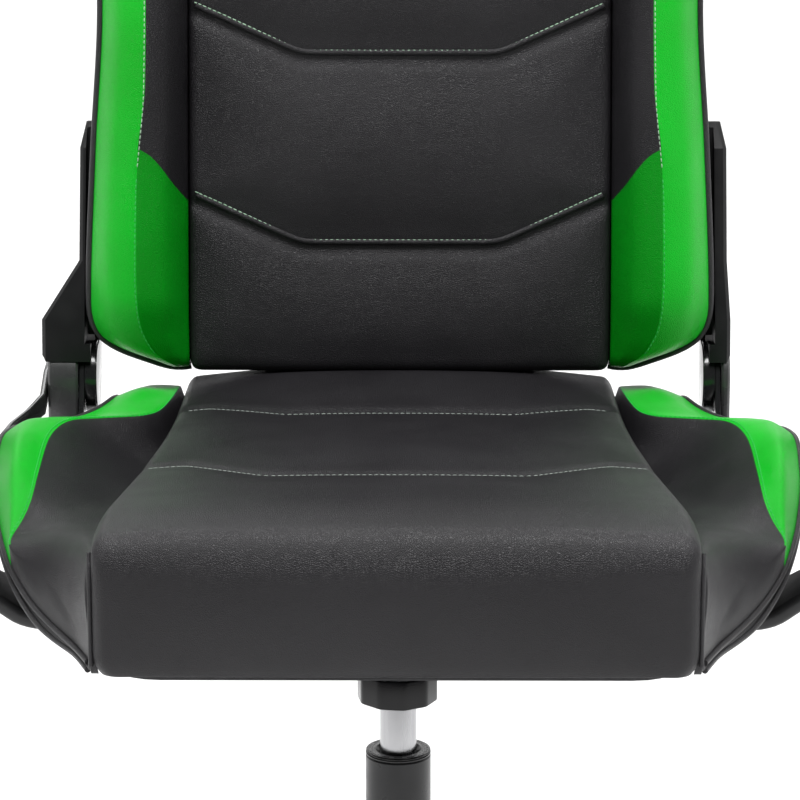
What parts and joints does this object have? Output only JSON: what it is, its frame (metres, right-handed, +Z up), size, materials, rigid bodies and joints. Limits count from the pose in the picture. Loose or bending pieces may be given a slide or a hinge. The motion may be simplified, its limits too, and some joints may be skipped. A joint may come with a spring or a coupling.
{
  "type": "gaming chair",
  "caption": "Racing-style swivel armchair with a reclining bolstered back, winged seat, looped armrests, tilt mechanism, gas lift and star base on twin-wheel castors.",
  "frame": {"origin": "on the floor, at the centre of the chair's footprint box", "axes": "+Z up along the height; the chair faces -Y, so +X is the sitter's left and +Y is behind the back"},
  "size_m": [0.748, 0.7179, 1.2917],
  "materials": {
    "leather_black": "fine-grained satin leatherette",
    "leather_green": "fine-grained satin leatherette",
    "plastic_black": "moulded satin nylon",
    "wheel_black": "smooth nylon tread",
    "steel_black": "black gloss powder coat",
    "chrome": "polished",
    "steel_bright": "zinc-plated",
    "board": "board under a black dust cloth"
  },
  "bodies": {
    "base": {"base_star": "plastic_black", "gas_column": "steel_black", "column_guide_bush": "plastic_black"},
    "piston": {"piston_rod": "steel_bright"},
    "lift": {"gas_cylinder": "chrome", "mechanism_housing": "steel_black", "tilt_pivot_pin": "steel_bright", "tilt_spring": "steel_bright"},
    "release": {"release_pin": "steel_bright"},
    "tilt_lock": {"tilt_lock_sleeve": "plastic_black"},
    "height_lever": {"height_lever_rod": "steel_black", "height_lever_grip": "plastic_black"},
    "seat": {"seat_plate": "steel_black", "tension_screw": "steel_bright", "seat_board": "board", "seat_cushion": "leather_black", "seat_wing_left": "leather_green", "seat_wing_right": "leather_green", "armrest_left": "plastic_black", "armrest_right": "plastic_black", "arm_pad_left": "plastic_black", "arm_pad_right": "plastic_black", "seat_bracket_left": "steel_black", "seat_bracket_right": "steel_black", "lower_cover_left": "plastic_black", "lower_cover_right": "plastic_black"},
    "spring_seat": {"spring_washer": "steel_bright"},
    "knob": {"tension_knob": "plastic_black"},
    "backrest": {"back_frame": "steel_black", "back_shell": "leather_black", "back_pad": "leather_black", "back_bolster_left": "leather_green", "back_bolster_right": "leather_green", "harness_bezel_left": "plastic_black", "harness_bezel_right": "plastic_black", "back_arm_left": "steel_black", "back_arm_right": "steel_black", "upper_cover_left": "plastic_black", "upper_cover_right": "plastic_black"},
    "recline_handle": {"recline_lever": "steel_black"},
    "castor_1": {"castor_1_stem": "steel_bright", "castor_1_housing": "plastic_black"},
    "castor_1_wheel_left": {"castor_1_wheel_left": "wheel_black"},
    "castor_1_wheel_right": {"castor_1_wheel_right": "wheel_black"},
    "castor_2": {"castor_2_stem": "steel_bright", "castor_2_housing": "plastic_black"},
    "castor_2_wheel_left": {"castor_2_wheel_left": "wheel_black"},
    "castor_2_wheel_right": {"castor_2_wheel_right": "wheel_black"},
    "castor_3": {"castor_3_stem": "steel_bright", "castor_3_housing": "plastic_black"},
    "castor_3_wheel_left": {"castor_3_wheel_left": "wheel_black"},
    "castor_3_wheel_right": {"castor_3_wheel_right": "wheel_black"},
    "castor_4": {"castor_4_stem": "steel_bright", "castor_4_housing": "plastic_black"},
    "castor_4_wheel_left": {"castor_4_wheel_left": "wheel_black"},
    "castor_4_wheel_right": {"castor_4_wheel_right": "wheel_black"},
    "castor_5": {"castor_5_stem": "steel_bright", "castor_5_housing": "plastic_black"},
    "castor_5_wheel_left": {"castor_5_wheel_left": "wheel_black"},
    "castor_5_wheel_right": {"castor_5_wheel_right": "wheel_black"}
  },
  "joints": [
    {"name": "seat_swivel", "type": "hinge", "parent": "base", "child": "piston", "pos_m": [0, -0.033, 0.2], "axis": [0, 0, 1], "continuous": true},
    {"name": "seat_height", "type": "slide", "parent": "piston", "child": "lift", "axis": [0, 0, 1], "range_m": [-0.03, 0.05]},
    {"name": "seat_tilt", "type": "hinge", "parent": "lift", "child": "seat", "pos_m": [0, -0.088, 0.425], "axis": [-1, 0, 0], "range_deg": [0, 10], "stiffness_Nm_per_rad": 200, "springref_deg": -20.05, "deforming": ["tilt_spring"]},
    {"name": "tension_travel", "type": "slide", "parent": "seat", "child": "spring_seat", "axis": [0, 0, 1], "range_m": [-0.003, 0.003], "deforming": ["tilt_spring"]},
    {"name": "tension_turn", "type": "hinge", "parent": "spring_seat", "child": "knob", "pos_m": [0, -0.148, 0.402], "axis": [0, 0, 1], "range_deg": [-720, 720]},
    {"name": "tilt_lock_travel", "type": "slide", "parent": "lift", "child": "tilt_lock", "axis": [-1, 0, 0], "range_m": [0, 0.012]},
    {"name": "height_lever_lift", "type": "hinge", "parent": "tilt_lock", "child": "height_lever", "pos_m": [-0.034, -0.033, 0.4165], "axis": [0, 1, 0], "range_deg": [0, 6], "stiffness_Nm_per_rad": 4, "springref_deg": -11.46},
    {"name": "release_pin_travel", "type": "slide", "parent": "lift", "child": "release", "axis": [0, 0, 1], "range_m": [-0.0036, 0.0001]},
    {"name": "recline", "type": "hinge", "parent": "seat", "child": "backrest", "pos_m": [0, 0.202, 0.545], "axis": [-1, 0, 0], "range_deg": [-5, 60]},
    {"name": "recline_lever_lift", "type": "hinge", "parent": "seat", "child": "recline_handle", "pos_m": [-0.286, 0.202, 0.545], "axis": [-1, 0, 0], "range_deg": [0, 25], "stiffness_Nm_per_rad": 2, "springref_deg": -20.05},
    {"name": "castor_1_swivel", "type": "hinge", "parent": "base", "child": "castor_1", "pos_m": [0, -0.343, 0.06], "axis": [0, 0, 1], "continuous": true},
    {"name": "castor_1_roll_left", "type": "hinge", "parent": "castor_1", "child": "castor_1_wheel_left", "pos_m": [0.01965, -0.321, 0.03], "axis": [1, 0, 0], "continuous": true},
    {"name": "castor_1_roll_right", "type": "hinge", "parent": "castor_1", "child": "castor_1_wheel_right", "pos_m": [-0.01965, -0.321, 0.03], "axis": [1, 0, 0], "continuous": true},
    {"name": "castor_2_swivel", "type": "hinge", "parent": "base", "child": "castor_2", "pos_m": [0.29483, -0.1288, 0.06], "axis": [0, 0, 1], "continuous": true},
    {"name": "castor_2_roll_left", "type": "hinge", "parent": "castor_2", "child": "castor_2_wheel_left", "pos_m": [0.31448, -0.1068, 0.03], "axis": [1, 0, 0], "continuous": true},
    {"name": "castor_2_roll_right", "type": "hinge", "parent": "castor_2", "child": "castor_2_wheel_right", "pos_m": [0.27518, -0.1068, 0.03], "axis": [1, 0, 0], "continuous": true},
    {"name": "castor_3_swivel", "type": "hinge", "parent": "base", "child": "castor_3", "pos_m": [0.18221, 0.2178, 0.06], "axis": [0, 0, 1], "continuous": true},
    {"name": "castor_3_roll_left", "type": "hinge", "parent": "castor_3", "child": "castor_3_wheel_left", "pos_m": [0.20186, 0.2398, 0.03], "axis": [1, 0, 0], "continuous": true},
    {"name": "castor_3_roll_right", "type": "hinge", "parent": "castor_3", "child": "castor_3_wheel_right", "pos_m": [0.16256, 0.2398, 0.03], "axis": [1, 0, 0], "continuous": true},
    {"name": "castor_4_swivel", "type": "hinge", "parent": "base", "child": "castor_4", "pos_m": [-0.18221, 0.2178, 0.06], "axis": [0, 0, 1], "continuous": true},
    {"name": "castor_4_roll_left", "type": "hinge", "parent": "castor_4", "child": "castor_4_wheel_left", "pos_m": [-0.16256, 0.2398, 0.03], "axis": [1, 0, 0], "continuous": true},
    {"name": "castor_4_roll_right", "type": "hinge", "parent": "castor_4", "child": "castor_4_wheel_right", "pos_m": [-0.20186, 0.2398, 0.03], "axis": [1, 0, 0], "continuous": true},
    {"name": "castor_5_swivel", "type": "hinge", "parent": "base", "child": "castor_5", "pos_m": [-0.29483, -0.1288, 0.06], "axis": [0, 0, 1], "continuous": true},
    {"name": "castor_5_roll_left", "type": "hinge", "parent": "castor_5", "child": "castor_5_wheel_left", "pos_m": [-0.27518, -0.1068, 0.03], "axis": [1, 0, 0], "continuous": true},
    {"name": "castor_5_roll_right", "type": "hinge", "parent": "castor_5", "child": "castor_5_wheel_right", "pos_m": [-0.31448, -0.1068, 0.03], "axis": [1, 0, 0], "continuous": true}
  ],
  "couplings": [
    {"joint": "tension_turn", "follows": "tension_travel", "rad_per_m": 4188.8},
    {"joint": "release_pin_travel", "follows": "height_lever_lift", "m_per_rad": -0.034}
  ]
}
